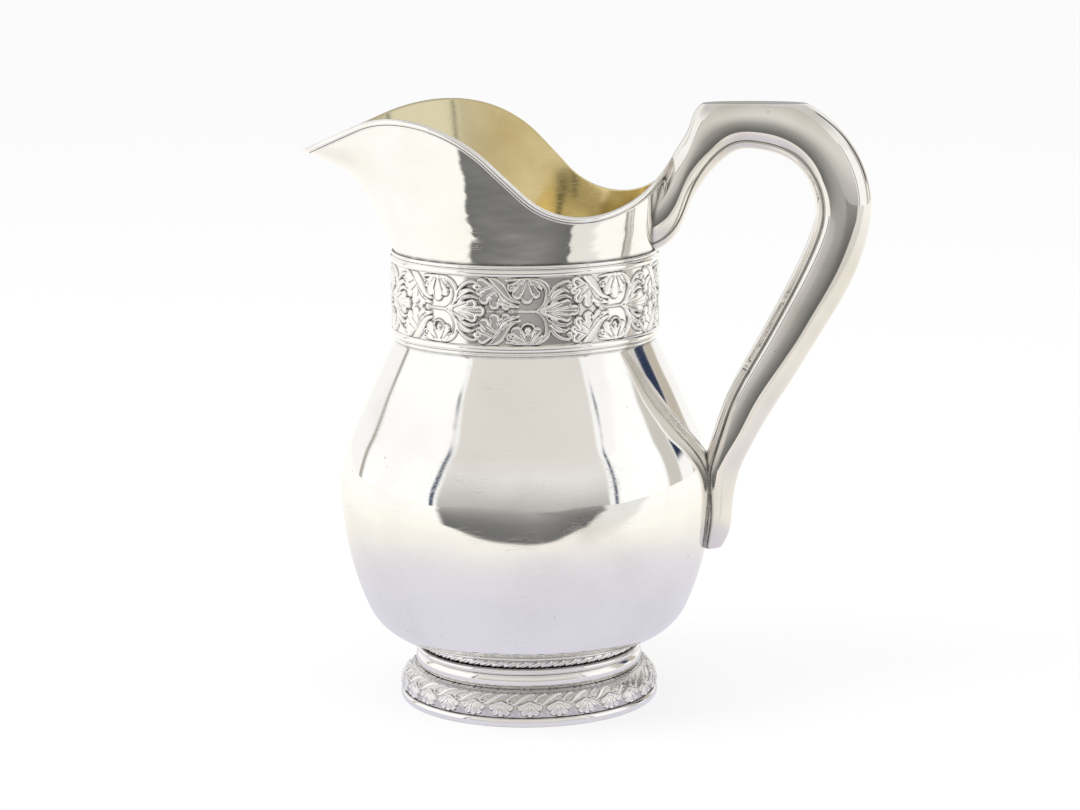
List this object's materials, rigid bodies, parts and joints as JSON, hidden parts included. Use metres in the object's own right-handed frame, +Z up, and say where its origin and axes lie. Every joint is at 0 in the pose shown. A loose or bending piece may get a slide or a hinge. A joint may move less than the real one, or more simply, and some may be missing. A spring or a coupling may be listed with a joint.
{
  "type": "jug",
  "caption": "Bellied silver jug with a beak spout, waved lip, foliage band round the neck, hollow loop handle with a flat thumb rest and a moulded foot.",
  "frame": {"origin": "centre of the foot's underside, where the jug stands", "axes": "+Z up, -X towards the spout, +X towards the handle, XZ the plane of symmetry"},
  "size_m": [0.202, 0.1328, 0.2142],
  "materials": {
    "body_silver": "polished silver, gilt inside",
    "trim_silver": "polished silver with dark oxide in the hollows",
    "handle_silver": "polished silver",
    "foot_silver": "polished silver with dark oxide in the hollows"
  },
  "bodies": {
    "root": {"belly_bowl": "body_silver", "neck_spout": "body_silver", "rim_wire": "trim_silver", "neck_band": "trim_silver", "band_upper_moulding": "trim_silver", "band_lower_moulding": "trim_silver", "handle_back": "handle_silver", "handle_inner_strip": "handle_silver", "foot_leaf_wire": "foot_silver", "foot_top_ring": "foot_silver", "foot_collar": "foot_silver", "foot_border_ring": "foot_silver", "foot_base_ring": "foot_silver"}
  },
  "joints": []
}
